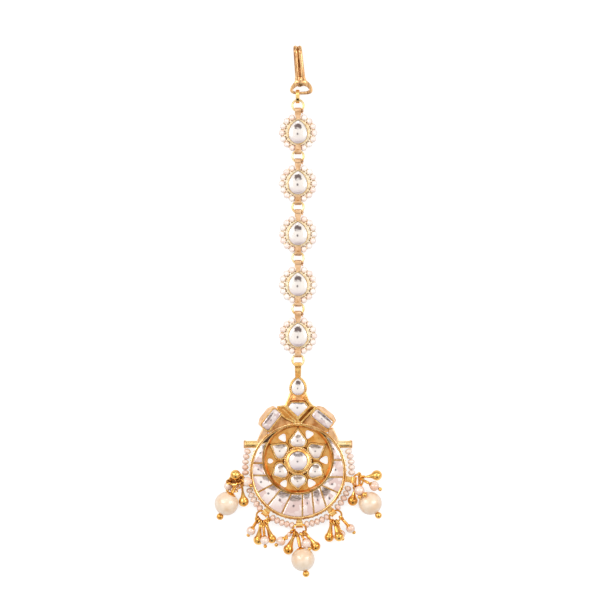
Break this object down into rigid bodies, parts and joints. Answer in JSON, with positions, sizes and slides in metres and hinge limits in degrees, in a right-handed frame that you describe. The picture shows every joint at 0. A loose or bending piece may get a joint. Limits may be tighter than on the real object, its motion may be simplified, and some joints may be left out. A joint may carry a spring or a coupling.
{
  "type": "maang tikka",
  "caption": "Forehead jewel laid flat: a wire hair hook, pearl-edged stone stations on rings and a round stone-set pendant with a crescent, a crown and pearl and gold drops.",
  "frame": {"origin": "on the resting plane, under the middle of the pendant's flower", "axes": "+Y runs along the piece from the pendant up to the hook, +X to the wearer's left as seen from the front, +Z out of the front, away from the forehead"},
  "size_m": [0.0504, 0.1595, 0.0071],
  "materials": {
    "gold": "gold plated, polished",
    "hook_gold": "rosy gold plated wire, polished",
    "foiled_stone": "clear glass over silver foil",
    "pearl": "cream imitation pearl",
    "seed_pearl": "pinkish white seed pearl"
  },
  "bodies": {
    "root": {"big_pearl_bottom": "pearl", "big_pearl_left": "pearl", "big_pearl_right": "pearl", "chain_ring_1": "gold", "chain_ring_2": "gold", "chain_ring_3": "gold", "chain_ring_4": "gold", "chain_ring_5": "gold", "chain_ring_6": "gold", "crescent_stone_1": "foiled_stone", "crescent_stone_10": "foiled_stone", "crescent_stone_11": "foiled_stone", "crescent_stone_12": "foiled_stone", "crescent_stone_2": "foiled_stone", "crescent_stone_3": "foiled_stone", "crescent_stone_4": "foiled_stone", "crescent_stone_5": "foiled_stone", "crescent_stone_6": "foiled_stone", "crescent_stone_7": "foiled_stone", "crescent_stone_8": "foiled_stone", "crescent_stone_9": "foiled_stone", "drop_stone": "foiled_stone", "gold_drops": "gold", "hook": "hook_gold", "hook_link": "gold", "jump_ring_bottom": "gold", "jump_ring_left": "gold", "jump_ring_lower_left": "gold", "jump_ring_lower_right": "gold", "jump_ring_right": "gold", "kite_stone": "foiled_stone", "pearl_pins": "gold", "pendant_frame": "gold", "petal_stone_1": "foiled_stone", "petal_stone_2": "foiled_stone", "petal_stone_3": "foiled_stone", "petal_stone_4": "foiled_stone", "petal_stone_5": "foiled_stone", "petal_stone_6": "foiled_stone", "rim_pearls": "seed_pearl", "rosette_stone": "foiled_stone", "small_pearls": "pearl", "station_pearls_1": "seed_pearl", "station_pearls_2": "seed_pearl", "station_pearls_3": "seed_pearl", "station_pearls_4": "seed_pearl", "station_pearls_5": "seed_pearl", "station_setting_1": "gold", "station_setting_2": "gold", "station_setting_3": "gold", "station_setting_4": "gold", "station_setting_5": "gold", "station_stone_1": "foiled_stone", "station_stone_2": "foiled_stone", "station_stone_3": "foiled_stone", "station_stone_4": "foiled_stone", "station_stone_5": "foiled_stone", "wing_stone_left": "foiled_stone", "wing_stone_right": "foiled_stone"}
  },
  "joints": []
}
